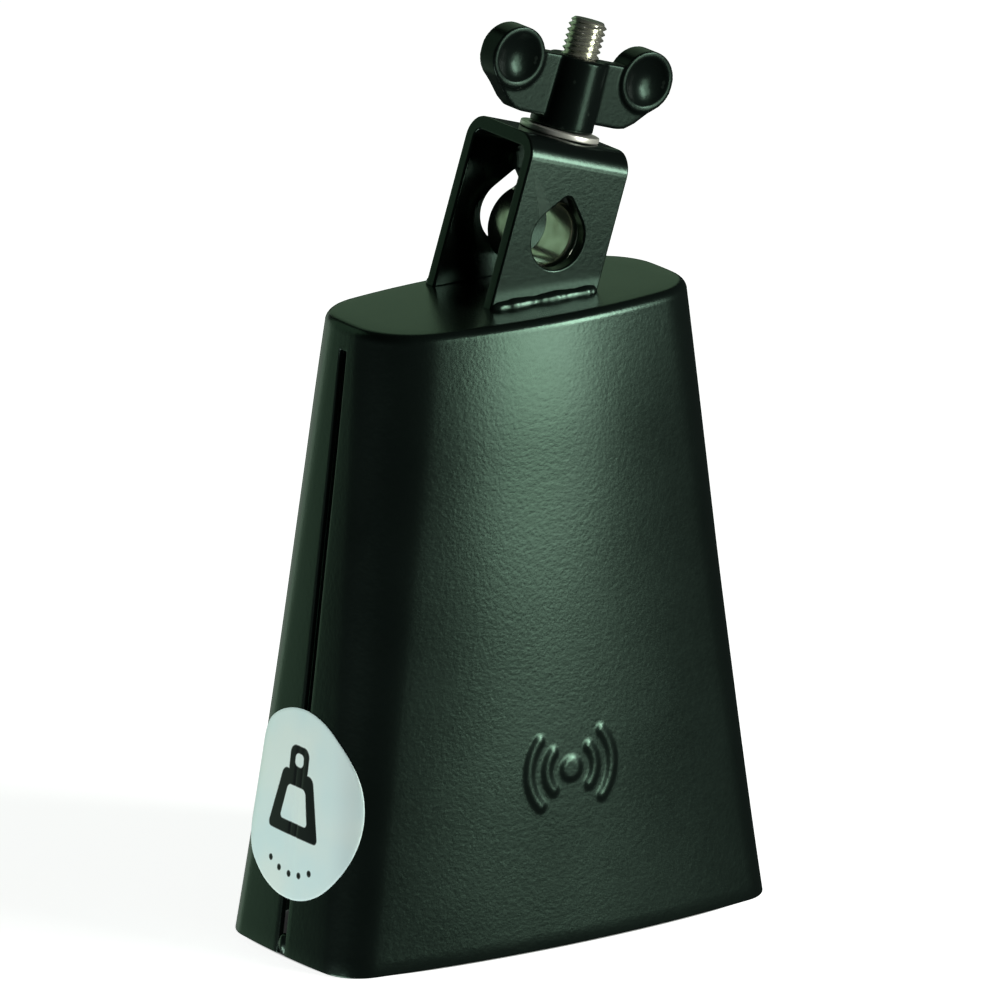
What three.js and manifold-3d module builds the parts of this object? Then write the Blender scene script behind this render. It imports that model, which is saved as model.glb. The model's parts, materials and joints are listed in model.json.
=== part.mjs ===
// A clamp-on steel cowbell: a folded sheet bell, a leaning strap bracket welded to its crown, and an
// eye bolt, a washer and a wing nut that clamp the bell to a rod. Millimetres, +Z up, origin at the
// middle of the mouth, +X along the mouth's long side, -Y towards the striking face.
import * as THREE from "three";
import { mergeVertices } from "three/addons/utils/BufferGeometryUtils.js";
import Module from "manifold-3d";

const wasm = await Module();
wasm.setup();

// Bell. A section is two long arcs, two end arcs and four corner arcs that touch them.
const BELL_HEIGHT = 133.35;
const WALL = 1.3;
const CROWN = { halfLength: 40.2, halfDepth: 20.3, longRadius: 150, endRadius: 90, corner: 15 };
const MOUTH = { halfLength: 55.3, halfDepth: 27.2, longRadius: 300, endRadius: 220, corner: 9 };
// How far the walls bow in between crown and mouth, as a share of the taper.
const FLARE = 0.09;
const CROWN_EDGE_RADIUS = 2.2;
const CROWN_EDGE_STEPS = 4;
const WALL_LEVELS = 6;
const ARC_STEPS = { end: 3, corner: 5, long: 4 };

// Side seams, open from just under the crown down to the tack weld at the mouth.
const SEAM_WIDTH = 2.4;
const SEAM_TOP = BELL_HEIGHT - 5.5;
const SEAM_WELD_HEIGHT = 4.2;
const SEAM_WELD_BULGE = 0.5;

// Round label, wrapped over the left end of the bell.
const LABEL_RADIUS = 20;
const LABEL_HEIGHT = 32;
const LABEL_THICKNESS = 0.2;
const LABEL_STAND_OFF = 0.35;

// Bracket: a strap bent into an upside-down U. Its own frame leans over the crown.
const BRACKET_FOOT = new THREE.Vector3(3.5, 3.6, BELL_HEIGHT);
const BRACKET_LEAN = THREE.MathUtils.degToRad(17.5);
const STRAP_WIDTH = 25.7;
const STRAP_ACROSS = 0.2;
const STRAP_THICKNESS = 2.9;
const BRACKET_DEPTH = 23.6;
const BRACKET_HEIGHT = 33.3;
const BEND_RADIUS = 5;
const BEND_STEPS = 5;
const WELD_LEG = 2;

// Teardrop rod holes in both legs: a round seat with a narrower round apex above it. The rear one is
// punched a little over and up from the front one.
const SEAT = { across: -0.4, up: 13.3, radius: 6.6 };
const APEX = { rise: 7.3, radius: 1.6 };
const REAR_HOLE_SHIFT = { across: 1.3, up: 1.2 };

// Clamp screw, on one axis that is parallel to the legs.
const SCREW_ACROSS = 1.8;
const SHANK_RADIUS = 4;
const SHANK_END = 57.8;
const SHANK_CHAMFER = 0.8;
const CLEARANCE_HOLE_RADIUS = 4.6;
const EYE = { up: 13, outer: 8.4, inner: 6.4, length: 10, chamfer: 0.5 };
const NECK = { radius: 5.2, height: 3 };

const GAP = 0.3;
const WASHER_GAP = 0.15;
const WASHER = { inner: 4.3, outer: 8.4, thickness: 1.1, chamfer: 0.2 };

const HUB = { bottom: 34.7, top: 49.9, bottomRadius: 6.7, topRadius: 6.3, bore: 4.15, chamfer: 0.5 };
const WING = { bottom: 36.7, cornerAcross: 14.9, cornerCut: 2.5, thickness: 4.4 };
const LOBE = { across: 16.9, up: 47.65, radius: 6.5, thickness: 5.4, chamfer: 0.6 };
const CUP = { radius: 5.3, depth: 1.9 };
const ROUND_SIDES = 28;

const blackCoat = { color: 0x22302a, roughness: 0.4, metalness: 0.1 };
const nickel = { color: 0xb9bbb0, roughness: 0.28, metalness: 1 };
const labelFoil = { color: 0xb4ccc6, roughness: 0.45, metalness: 0.3 };

const X = new THREE.Vector3(1, 0, 0);
const Y = new THREE.Vector3(0, 1, 0);
const Z = new THREE.Vector3(0, 0, 1);

// Solids and meshes

function solidOf(geometry) {
  const bare = geometry.clone();
  bare.deleteAttribute("normal");
  bare.deleteAttribute("uv");
  const merged = mergeVertices(bare, 1e-4);
  return new wasm.Manifold(
    new wasm.Mesh({
      numProp: 3,
      vertProperties: merged.attributes.position.array,
      triVerts: new Uint32Array(merged.index.array),
    }),
  );
}

function geometryOf(solid) {
  const { vertProperties, triVerts } = solid.getMesh();
  const geometry = new THREE.BufferGeometry();
  geometry.setAttribute("position", new THREE.BufferAttribute(vertProperties, 3));
  geometry.setIndex(new THREE.BufferAttribute(triVerts, 1));
  geometry.computeVertexNormals();
  return geometry;
}

function addPiece(group, name, solid, finish) {
  const piece = new THREE.Mesh(geometryOf(solid), new THREE.MeshStandardMaterial(finish));
  piece.name = name;
  group.add(piece);
}

// An outline drawn in (x, z), made solid between two depths.
function plateAcrossDepth(shape, fromY, toY, curveSegments) {
  const geometry = new THREE.ExtrudeGeometry(shape, { depth: toY - fromY, bevelEnabled: false, curveSegments });
  geometry.applyMatrix4(new THREE.Matrix4().makeBasis(X, Z, Y.clone().negate()));
  return solidOf(geometry.translate(0, toY, 0));
}

// A profile of [radius, height] pairs turned about the z axis.
function turned(profile, sides = ROUND_SIDES) {
  const points = profile.map(([radius, height]) => new THREE.Vector2(radius, height));
  return solidOf(new THREE.LatheGeometry(points, sides).rotateX(Math.PI / 2));
}

// A ring about the z axis with its edges broken.
function ring(inner, outer, bottom, top, chamfer) {
  return turned([
    [inner + chamfer, bottom],
    [outer - chamfer, bottom],
    [outer, bottom + chamfer],
    [outer, top - chamfer],
    [outer - chamfer, top],
    [inner + chamfer, top],
    [inner, top - chamfer],
    [inner, bottom + chamfer],
    [inner + chamfer, bottom],
  ]);
}

// Bell

// The section at a height, pushed out (or, if negative, in) by an offset.
function sectionAt(height, offset = 0) {
  const level = THREE.MathUtils.clamp(height / BELL_HEIGHT, 0, 1);
  const t = level + FLARE * level * (1 - level);
  const mix = (key) => THREE.MathUtils.lerp(MOUTH[key], CROWN[key], t);
  const mixRadius = (key) => 1 / THREE.MathUtils.lerp(1 / MOUTH[key], 1 / CROWN[key], t);
  return {
    halfLength: mix("halfLength") + offset,
    halfDepth: mix("halfDepth") + offset,
    longRadius: mixRadius("longRadius") + offset,
    endRadius: mixRadius("endRadius") + offset,
    corner: mix("corner") + offset,
  };
}

function arc(centre, radius, from, to, steps) {
  return Array.from({ length: steps + 1 }, (_, i) => {
    const angle = THREE.MathUtils.lerp(from, to, i / steps);
    return new THREE.Vector2(Math.cos(angle), Math.sin(angle)).multiplyScalar(radius).add(centre);
  });
}

// A quarter of the outline, from the middle of the +X end round to the middle of the +Y side.
function quarterOutline({ halfLength, halfDepth, longRadius, endRadius, corner }) {
  const longCentre = new THREE.Vector2(0, halfDepth - longRadius);
  const endCentre = new THREE.Vector2(halfLength - endRadius, 0);
  const reachLong = longRadius - corner;
  const reachEnd = endRadius - corner;
  const axis = endCentre.clone().sub(longCentre);
  const apart = axis.length();
  axis.divideScalar(apart);
  const along = (reachLong ** 2 - reachEnd ** 2 + apart ** 2) / (2 * apart);
  const aside = Math.sqrt(reachLong ** 2 - along ** 2);
  const cornerCentre = longCentre
    .clone()
    .addScaledVector(axis, along)
    .add(new THREE.Vector2(axis.y, -axis.x).multiplyScalar(aside));
  const endAngle = cornerCentre.clone().sub(endCentre).angle();
  const longAngle = cornerCentre.clone().sub(longCentre).angle();
  return [
    ...arc(endCentre, endRadius, 0, endAngle, ARC_STEPS.end),
    ...arc(cornerCentre, corner, endAngle, longAngle, ARC_STEPS.corner).slice(1),
    ...arc(longCentre, longRadius, longAngle, Math.PI / 2, ARC_STEPS.long).slice(1),
  ];
}

// The whole outline, counter-clockwise from the middle of the +X end.
function outline(section) {
  const quarter = quarterOutline(section);
  const mirrored = (list, sx, sy) => list.map((p) => new THREE.Vector2(p.x * sx, p.y * sy));
  const back = [...quarter].reverse();
  return [
    ...quarter.slice(0, -1),
    ...mirrored(back, -1, 1).slice(0, -1),
    ...mirrored(quarter, -1, -1).slice(0, -1),
    ...mirrored(back, 1, -1).slice(0, -1),
  ];
}

function ringAt(section, height) {
  return outline(section).map((p) => new THREE.Vector3(p.x, p.y, height));
}

// A closed solid through rings of equal length, stacked upwards, with flat ends.
function loft(rings) {
  const count = rings[0].length;
  const last = (rings.length - 1) * count;
  const points = [...rings.flat(), new THREE.Vector3(0, 0, rings[0][0].z), new THREE.Vector3(0, 0, rings.at(-1)[0].z)];
  const bottom = points.length - 2;
  const top = points.length - 1;
  const faces = [];
  for (let i = 0; i < count; i++) {
    const next = (i + 1) % count;
    for (let base = 0; base < last; base += count) {
      faces.push(base + i, base + next, base + count + next);
      faces.push(base + i, base + count + next, base + count + i);
    }
    faces.push(bottom, next, i, top, last + i, last + next);
  }
  const geometry = new THREE.BufferGeometry().setFromPoints(points);
  geometry.setIndex(faces);
  return solidOf(geometry);
}

// The bell as a full block, pushed in by an inset; the crown's edge is rounded over.
function bellBlock(inset, floor) {
  const top = BELL_HEIGHT - inset;
  const radius = CROWN_EDGE_RADIUS - inset;
  const shoulder = top - radius;
  const rings = [];
  for (let level = 0; level <= WALL_LEVELS; level++) {
    const height = THREE.MathUtils.lerp(floor, shoulder, level / WALL_LEVELS);
    rings.push(ringAt(sectionAt(height, -inset), height));
  }
  for (let step = 1; step <= CROWN_EDGE_STEPS; step++) {
    const turn = (step / CROWN_EDGE_STEPS) * (Math.PI / 2);
    const pullIn = radius * (1 - Math.cos(turn));
    rings.push(ringAt(sectionAt(shoulder, -inset - pullIn), shoulder + radius * Math.sin(turn)));
  }
  return loft(rings);
}

// Below the mouth the cavity's block keeps the mouth's section, so the cut runs clean past the rim.
function bellShell() {
  const margin = 1;
  const reach = 2 * (MOUTH.halfLength + margin);
  const slot = new THREE.BoxGeometry(reach, SEAM_WIDTH, SEAM_TOP + margin);
  slot.translate(0, 0, (SEAM_TOP - margin) / 2);
  return bellBlock(0, 0).subtract(bellBlock(WALL, -margin)).subtract(solidOf(slot));
}

// A tack weld that fills the seam at the mouth and stands a little proud of the wall. side is -1 or +1.
function seamWeld(side) {
  const slope = Math.atan(((1 + FLARE) * (MOUTH.halfLength - CROWN.halfLength)) / BELL_HEIGHT);
  const half = SEAM_WIDTH / 2 - GAP;
  const profile = new THREE.Shape();
  profile.moveTo(-WALL, -half);
  profile.lineTo(0, -half);
  profile.quadraticCurveTo(2 * SEAM_WELD_BULGE, 0, 0, half);
  profile.lineTo(-WALL, half);
  const bead = new THREE.ExtrudeGeometry(profile, {
    depth: SEAM_WELD_HEIGHT - GAP,
    bevelEnabled: false,
    curveSegments: 6,
  });
  bead.translate(0, 0, GAP).rotateY(-slope).translate(MOUTH.halfLength, 0, 0);
  if (side < 0) bead.rotateZ(Math.PI);
  return solidOf(bead);
}

// Label

// The point of the wall's outside at a distance round from the left seam, pushed out by an offset.
function wallPoint(round, height, offset) {
  const points = outline(sectionAt(height, offset));
  const start = points.length / 2;
  const step = round < 0 ? points.length - 1 : 1;
  let left = Math.abs(round);
  let here = points[start];
  for (let i = 1; i < points.length; i++) {
    const next = points[(start + i * step) % points.length];
    const span = here.distanceTo(next);
    if (left <= span) return new THREE.Vector3(...here.clone().lerp(next, left / span), height);
    left -= span;
    here = next;
  }
  return new THREE.Vector3(...here, height);
}

function roundLabel() {
  const rays = 32;
  const bands = 6;
  const lean = Math.hypot(1, (MOUTH.halfLength - CROWN.halfLength) / BELL_HEIGHT);
  const points = [];
  const faces = [];
  for (const offset of [LABEL_STAND_OFF, LABEL_STAND_OFF + LABEL_THICKNESS]) {
    points.push(wallPoint(0, LABEL_HEIGHT, offset));
    for (let band = 1; band <= bands; band++) {
      const reach = (LABEL_RADIUS * band) / bands;
      for (let ray = 0; ray < rays; ray++) {
        const angle = (ray / rays) * 2 * Math.PI;
        const height = LABEL_HEIGHT + (reach * Math.sin(angle)) / lean;
        points.push(wallPoint(reach * Math.cos(angle), height, offset));
      }
    }
  }
  const skin = 1 + bands * rays;
  const at = (layer, band, ray) => layer * skin + 1 + (band - 1) * rays + (ray % rays);
  const quad = (a, b, c, d) => faces.push(a, b, c, a, c, d);
  for (let ray = 0; ray < rays; ray++) {
    faces.push(0, at(0, 1, ray + 1), at(0, 1, ray));
    faces.push(skin, at(1, 1, ray), at(1, 1, ray + 1));
    for (let band = 1; band < bands; band++) {
      quad(at(0, band, ray), at(0, band, ray + 1), at(0, band + 1, ray + 1), at(0, band + 1, ray));
      quad(at(1, band, ray), at(1, band + 1, ray), at(1, band + 1, ray + 1), at(1, band, ray + 1));
    }
    quad(at(0, bands, ray), at(0, bands, ray + 1), at(1, bands, ray + 1), at(1, bands, ray));
  }
  const geometry = new THREE.BufferGeometry().setFromPoints(points);
  geometry.setIndex(faces);
  return solidOf(geometry);
}

// Bracket, in its own frame: x across the strap, y through its depth, z along its legs

// A cutter for one leg's hole. side is -1 for the front leg, +1 for the rear.
function teardrop(side) {
  const slant = Math.asin((SEAT.radius - APEX.radius) / APEX.rise);
  const across = SEAT.across + (side > 0 ? REAR_HOLE_SHIFT.across : 0);
  const seatUp = SEAT.up + (side > 0 ? REAR_HOLE_SHIFT.up : 0);
  const shape = new THREE.Shape();
  shape.absarc(across, seatUp, SEAT.radius, Math.PI - slant, 2 * Math.PI + slant, false);
  shape.absarc(across, seatUp + APEX.rise, APEX.radius, slant, Math.PI - slant, false);
  return plateAcrossDepth(shape, Math.min(0, side * BRACKET_DEPTH), Math.max(0, side * BRACKET_DEPTH), 14);
}

function strapProfile() {
  const outer = BRACKET_DEPTH / 2;
  const inner = outer - STRAP_THICKNESS;
  const bendCentre = outer - BEND_RADIUS;
  const bendUp = BRACKET_HEIGHT - BEND_RADIUS;
  const foot = -BRACKET_HEIGHT / 2;
  const shape = new THREE.Shape();
  shape.moveTo(outer, foot);
  shape.absarc(bendCentre, bendUp, BEND_RADIUS, 0, Math.PI / 2, false);
  shape.absarc(-bendCentre, bendUp, BEND_RADIUS, Math.PI / 2, Math.PI, false);
  shape.lineTo(-outer, foot);
  shape.lineTo(-inner, foot);
  shape.absarc(-bendCentre, bendUp, BEND_RADIUS - STRAP_THICKNESS, Math.PI, Math.PI / 2, true);
  shape.absarc(bendCentre, bendUp, BEND_RADIUS - STRAP_THICKNESS, Math.PI / 2, 0, true);
  shape.lineTo(inner, foot);
  return shape;
}

function bracket() {
  const strap = new THREE.ExtrudeGeometry(strapProfile(), {
    depth: STRAP_WIDTH,
    bevelEnabled: false,
    curveSegments: BEND_STEPS,
  });
  strap.applyMatrix4(new THREE.Matrix4().makeBasis(Y, Z, X)).translate(STRAP_ACROSS - STRAP_WIDTH / 2, 0, 0);
  const belowCrown = new THREE.BoxGeometry(4 * STRAP_WIDTH, 2 * BRACKET_DEPTH, 2 * BRACKET_HEIGHT);
  belowCrown.translate(0, 0, GAP - BRACKET_HEIGHT).rotateY(-BRACKET_LEAN);
  const screwHole = new THREE.CylinderGeometry(CLEARANCE_HOLE_RADIUS, CLEARANCE_HOLE_RADIUS, BRACKET_HEIGHT, 28);
  screwHole.rotateX(Math.PI / 2).translate(SCREW_ACROSS, 0, BRACKET_HEIGHT);
  const standing = solidOf(strap).subtract(solidOf(belowCrown));
  return standing.subtract(teardrop(-1)).subtract(teardrop(1)).subtract(solidOf(screwHole));
}

// A fillet bead on the crown along the outside of one leg. side is -1 for the front leg, +1 for the rear.
function bracketWeld(side) {
  const length = STRAP_WIDTH / Math.cos(BRACKET_LEAN) - 1;
  const middle = STRAP_ACROSS / Math.cos(BRACKET_LEAN);
  const profile = new THREE.Shape();
  profile.moveTo(0, 0);
  profile.lineTo(WELD_LEG, 0);
  profile.quadraticCurveTo(WELD_LEG * 0.7, WELD_LEG * 0.7, 0, WELD_LEG);
  const bead = new THREE.ExtrudeGeometry(profile, { depth: length, bevelEnabled: false, curveSegments: 5 });
  bead.applyMatrix4(new THREE.Matrix4().makeBasis(Y, Z, X));
  bead.translate(-length / 2, BRACKET_DEPTH / 2 + GAP, GAP);
  if (side < 0) bead.rotateZ(Math.PI);
  return solidOf(bead.translate(middle, 0, 0)).translate(BRACKET_FOOT.toArray());
}

// Clamp screw pieces, each about the z axis of the screw's own frame

function eyeBolt() {
  const start = EYE.up + EYE.inner + GAP;
  const shank = turned([
    [0, start],
    [NECK.radius, start],
    [NECK.radius, start + 1],
    [SHANK_RADIUS, start + 1 + NECK.height],
    [SHANK_RADIUS, SHANK_END - SHANK_CHAMFER],
    [SHANK_RADIUS - SHANK_CHAMFER, SHANK_END],
    [0, SHANK_END],
  ]);
  const half = EYE.length / 2;
  const eye = ring(EYE.inner, EYE.outer, -half, half, EYE.chamfer).rotate([90, 0, 0]).translate([0, 0, EYE.up]);
  const hole = new THREE.CylinderGeometry(EYE.inner, EYE.inner, 2 * EYE.length, ROUND_SIDES);
  return eye.add(shank.subtract(solidOf(hole.translate(0, 0, EYE.up))));
}

function washer() {
  const bottom = BRACKET_HEIGHT + WASHER_GAP;
  return ring(WASHER.inner, WASHER.outer, bottom, bottom + WASHER.thickness, WASHER.chamfer);
}

// Both wings as one outline, drawn up the right side and mirrored down the left.
function wingOutline() {
  const { bottom, cornerAcross, cornerCut } = WING;
  const shape = new THREE.Shape();
  const lobeFrom = -Math.PI / 4;
  const lobeTo = Math.PI - Math.asin((HUB.top - LOBE.up) / LOBE.radius);
  shape.moveTo(-(cornerAcross - cornerCut), bottom);
  shape.lineTo(cornerAcross - cornerCut, bottom);
  shape.quadraticCurveTo(cornerAcross, bottom, cornerAcross + cornerCut * 0.7, bottom + cornerCut * 0.7);
  shape.absarc(LOBE.across, LOBE.up, LOBE.radius, lobeFrom, lobeTo, false);
  shape.absarc(-LOBE.across, LOBE.up, LOBE.radius, Math.PI - lobeTo, Math.PI - lobeFrom, false);
  shape.lineTo(-(cornerAcross + cornerCut * 0.7), bottom + cornerCut * 0.7);
  shape.quadraticCurveTo(-cornerAcross, bottom, -(cornerAcross - cornerCut), bottom);
  return shape;
}

// A thumb lobe: a thick disc with a dished cup in each face. side is -1 or +1.
function lobe(side) {
  const half = LOBE.thickness / 2;
  const edge = LOBE.radius - LOBE.chamfer;
  const disc = turned([
    [0, -half],
    [edge, -half],
    [LOBE.radius, LOBE.chamfer - half],
    [LOBE.radius, half - LOBE.chamfer],
    [edge, half],
    [0, half],
  ]);
  return disc.rotate([90, 0, 0]).translate([side * LOBE.across, 0, LOBE.up]);
}

function cups(side) {
  const radius = (CUP.radius ** 2 + CUP.depth ** 2) / (2 * CUP.depth);
  const reach = LOBE.thickness / 2 + radius - CUP.depth;
  const ball = solidOf(new THREE.SphereGeometry(radius, 28, 14));
  const place = (y) => ball.translate([side * LOBE.across, y, LOBE.up]);
  return place(reach).add(place(-reach));
}

function wingNut() {
  const { bottom, top, bottomRadius, topRadius, bore, chamfer } = HUB;
  const hub = turned([
    [0, bottom],
    [bottomRadius - chamfer, bottom],
    [bottomRadius, bottom + chamfer],
    [topRadius, top - chamfer],
    [topRadius - chamfer, top],
    [0, top],
  ]);
  const hole = new THREE.CylinderGeometry(bore, bore, 2 * top, ROUND_SIDES).rotateX(Math.PI / 2);
  const wings = plateAcrossDepth(wingOutline(), -WING.thickness / 2, WING.thickness / 2, 12);
  let nut = hub.add(wings);
  for (const side of [-1, 1]) nut = nut.add(lobe(side)).subtract(cups(side));
  return nut.subtract(solidOf(hole));
}

const cowbell = new THREE.Group();
addPiece(cowbell, "bell_shell", bellShell(), blackCoat);
addPiece(cowbell, "seam_weld_left", seamWeld(-1), blackCoat);
addPiece(cowbell, "seam_weld_right", seamWeld(1), blackCoat);
addPiece(cowbell, "round_label", roundLabel(), labelFoil);
addPiece(cowbell, "bracket_weld_front", bracketWeld(-1), blackCoat);
addPiece(cowbell, "bracket_weld_rear", bracketWeld(1), blackCoat);

const leaning = new THREE.Group();
leaning.position.copy(BRACKET_FOOT);
leaning.rotation.y = BRACKET_LEAN;
cowbell.add(leaning);
addPiece(leaning, "bracket", bracket(), blackCoat);

const screw = new THREE.Group();
screw.position.x = SCREW_ACROSS;
leaning.add(screw);
addPiece(screw, "eye_bolt", eyeBolt(), nickel);
addPiece(screw, "washer", washer(), nickel);
addPiece(screw, "wing_nut", wingNut(), blackCoat);

export default cowbell;
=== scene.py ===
"""The looks of a clamp-on cowbell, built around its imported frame.

Pieces are drawn in millimetres and stored in metres, in the frame's own axes: +Z up, +X along the
mouth's long side, -Y out of the front."""
import json
import math
from contextlib import contextmanager

import bmesh
import bpy
import numpy as np
from mathutils import Matrix, Vector, noise

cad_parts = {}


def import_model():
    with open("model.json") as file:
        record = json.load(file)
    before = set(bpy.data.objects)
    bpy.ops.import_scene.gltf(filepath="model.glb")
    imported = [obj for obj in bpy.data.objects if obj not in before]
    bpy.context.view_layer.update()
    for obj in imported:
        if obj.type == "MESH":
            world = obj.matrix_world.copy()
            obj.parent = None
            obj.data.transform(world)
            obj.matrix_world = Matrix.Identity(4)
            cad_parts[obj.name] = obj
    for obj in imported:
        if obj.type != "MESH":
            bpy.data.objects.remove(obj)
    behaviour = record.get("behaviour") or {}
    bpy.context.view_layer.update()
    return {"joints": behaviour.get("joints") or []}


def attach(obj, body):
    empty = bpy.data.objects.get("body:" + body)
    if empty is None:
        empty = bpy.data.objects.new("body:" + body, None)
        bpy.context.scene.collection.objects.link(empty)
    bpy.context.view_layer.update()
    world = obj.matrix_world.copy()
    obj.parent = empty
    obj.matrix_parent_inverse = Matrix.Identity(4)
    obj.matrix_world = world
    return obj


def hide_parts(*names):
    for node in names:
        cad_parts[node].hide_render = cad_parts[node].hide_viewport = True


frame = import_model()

MM = 0.001

# Lengths below this count as nothing.
TINY = 0.004

# Bell: a section is two long arcs, two end arcs and four corner arcs that touch them. FLARE draws
# the middle of the wall in. TOP_ROLL curves the long walls in below the crown.
BELL_HEIGHT = 133.35
WALL = 1.3
CROWN = {
    "half_length": 40.2,
    "half_depth": 20.3,
    "long_radius": 150,
    "end_radius": 90,
    "corner": 15,
}
MOUTH = {
    "half_length": 55.3,
    "half_depth": 27.2,
    "long_radius": 300,
    "end_radius": 220,
    "corner": 9,
}
FLARE = 0.09
TOP_ROLL = {"height": 24, "inwards": 0.8}
CROWN_EDGE_RADIUS = 2.2
CROWN_DOME = 0.25
RIM_ROUNDING = 0.35
SEAM_WIDTH = 2.4
SEAM_TOP = BELL_HEIGHT - 5.5
WALL_WAVES = {"height": 0.1, "length": 34}

# How finely the bell is drawn: steps in a quarter of a section, rows up the wall, and steps round
# the crown's edge and over the crown.
END_STEPS = 8
CORNER_STEPS = 14
LONG_STEPS = 12
WALL_ROWS = {"below_emblem": 9, "above_emblem": 26, "shoulder": 4}
CROWN_EDGE_STEPS = 8
CROWN_STEPS = 8

# Emblem raised on the front: a dot between two pairs of arcs, in a finer window of the mesh.
EMBLEM_HEIGHT = 37.6
EMBLEM_RELIEF = 0.3
EMBLEM_SPREAD = 0.8
EMBLEM_DOT = 2.4
EMBLEM_ARCS = (6.0, 10.4)
EMBLEM_LINE = 0.95
EMBLEM_SWEEP = math.radians(42)
FINE_STEP = 0.32
FINE_HALF_WIDTH = 13.5
FINE_HALF_HEIGHT = 9.6

# Tack weld at the foot of each seam. Its lumps are shares of its size.
SEAM_WELD = {"low": 0.1, "high": 4.6, "half_width": 1.6, "bulge": 0.22}
SEAM_WELD_LUMPS = {"height": 0.16, "length": 0.7}

# Round label on the left end. It sinks over the seam, most along the slot's two edges.
LABEL_RADIUS = 20
LABEL_HEIGHT = 32
LABEL_THICKNESS = 0.15
LABEL_STAND_OFF = 0.03
LABEL_WAVES = {"height": 0.02, "length": 6}
LABEL_RIM = {"width": 0.1, "thinner": 0.06}
LABEL_SAG = {"slot": 0.05, "edge": 0.07, "edge_width": 0.35}
LABEL_RINGS = 44
LABEL_RAYS = 144
LABEL_CROWDING = 1.15

# Bracket: a strap bent into an upside-down U, in a frame that leans over the crown.
BRACKET_FOOT = Vector((3.5, 3.6, BELL_HEIGHT))
STRAP_WIDTH = 25.7
STRAP_ACROSS = 0.2
STRAP_THICKNESS = 2.9
STRAP_EDGE = 0.45
BRACKET_DEPTH = 23.6
BRACKET_HEIGHT = 33.3
BEND_RADIUS = 5
FOOT_SINK = 0.1
SEAT = {"across": -0.4, "up": 13.3, "radius": 6.6}
APEX = {"rise": 7.3, "radius": 1.6}
REAR_HOLE_SHIFT = {"across": 1.3, "up": 1.2}
CLEARANCE_HOLE_RADIUS = 4.6

# Weld bead along the foot of each leg. Its swells, lumps and grain have heights that are shares of
# its radius.
BEAD = {"radius": 1.6, "shorter": 0.4, "inset": 0.35, "up": 0.1, "taller": 1.12, "bluntness": 16}
BEAD_SWELLS = {"height": 0.2, "length": 4.5}
BEAD_LUMPS = {"height": 0.06, "length": 1.6}
BEAD_GRAIN = {"height": 0.03, "length": 1.2}

# Clamp screw, about the axis of the joint that turns the nut. A thread's crest and flank are
# shares of half its pitch.
SCREW_ACROSS = 1.8
THREAD = {"radius": 4.0, "depth": 0.62, "pitch": 1.25, "crest": 0.1, "flank": 0.75}
SHANK_END = 57.8
SHANK_CHAMFER = 0.9
EYE = {"up": 13, "outer": 8.4, "inner": 6.4, "length": 10, "rounding": 0.5}
NECK = {"root": 0.6, "foot": 2, "flare": 1.2, "radius": 5.2, "height": 4, "overlap": 0.8}
WASHER = {"inner": 4.3, "outer": 8.4, "bottom": 33.33, "top": 34.57, "rounding": 0.28}
FORGING = {"voxel": 0.24, "rounds": 6}

HUB = {
    "bottom": 34.62,
    "top": 49.9,
    "bottom_radius": 6.7,
    "top_radius": 6.3,
    "chamfer": 0.5,
    "bore": 4.1,
}
WING = {
    "bottom": 36.7,
    "corner": 14.9,
    "nose": (0.4, 0.35),
    "cut": 2.5,
    "run": 0.7,
    "thickness": 4.4,
}
LOBE = {"across": 16.9, "up": 47.65, "radius": 6.5, "thickness": 5.4}
CUP = {"radius": 5.3, "depth": 1.9}
CASTING = {"voxel": 0.26, "rounds": 5}

# Coats. Texture sizes and depths are in millimetres, and noise mostly lies within MIDDLE.
BLACK = (0.003, 0.0046, 0.004, 1)
WORN = (0.012, 0.017, 0.014, 1)
COAT_TINT = (0.58, 1.0, 0.76, 1)
COAT_TEXTURE = {"patch": 22, "speck": 1.4, "pit": 0.95, "grain": 0.55}
COAT_EDGES = (0.53, 0.6)
NICKEL_TEXTURE = {"tarnish": 3.5, "grain": 0.25, "grain_depth": 0.004}
FILM_BLUE = (0.74, 0.96, 0.94, 1)
FILM_GREEN = (0.82, 0.98, 0.92, 1)
FILM_TEXTURE = {"cloud": 14, "grain": 0.7, "grain_depth": 0.01}
INK = (0.006, 0.008, 0.008, 1)
MIDDLE = (0.3, 0.7)

# The label's print, in label radii from its middle.
PRINT_ACROSS = 0.02
PRINT_DOTS = {"count": 5, "out": 0.74, "radius": 0.035, "first": -118, "apart": 14}
PRINT_SOFTNESS = 0.006

# Camera: a long lens in front of the left corner, a little above.
CAMERA_AZIMUTH = math.radians(-34.87)
CAMERA_ELEVATION = math.radians(16.96)
CAMERA_ROLL = math.radians(0.60)
CAMERA_DISTANCE = 4.0
CAMERA_AIM = Vector((0, 0, 0.09))
CAMERA_SLIDE = (-0.000909, -0.000883)
SENSOR = 36
LENS = 19.34 * SENSOR

# Floor and room. The floor glows, and a painted shadow darkens it just inside the mouth's outline.
FLOOR_REACH = 30000
FLOOR_DROP = 0.2
FLOOR_DARK = (0.86, 0.86, 0.86, 1)
FLOOR_LIGHT = (0.9, 0.9, 0.9, 1)
FLOOR_PATCH = 60
# Glow in the painted shadow inside the mouth, glow of the open floor, and where the shadow fades.
FLOOR_GLOW = {"under": 0.02, "open": 0.9, "from_share": 0.985}
MOUTH_SQUARENESS = 8
WHITE = (1, 1, 1, 1)
ROOM = (0.014, 0.018, 0.017, 1)

joint = frame["joints"][0]
SCREW_AXIS = Vector(joint["axis"]).normalized()
LEAN = math.atan2(SCREW_AXIS.x, SCREW_AXIS.z)
LEANING = Matrix.Translation(BRACKET_FOOT) @ Matrix.Rotation(LEAN, 4, "Y")
SCREW = LEANING @ Matrix.Translation((SCREW_ACROSS, 0, 0))
UPRIGHT = Matrix.Rotation(math.pi / 2, 4, "X")


# Meshes


def lerp(a, b, t):
    return a + (b - a) * t


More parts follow.
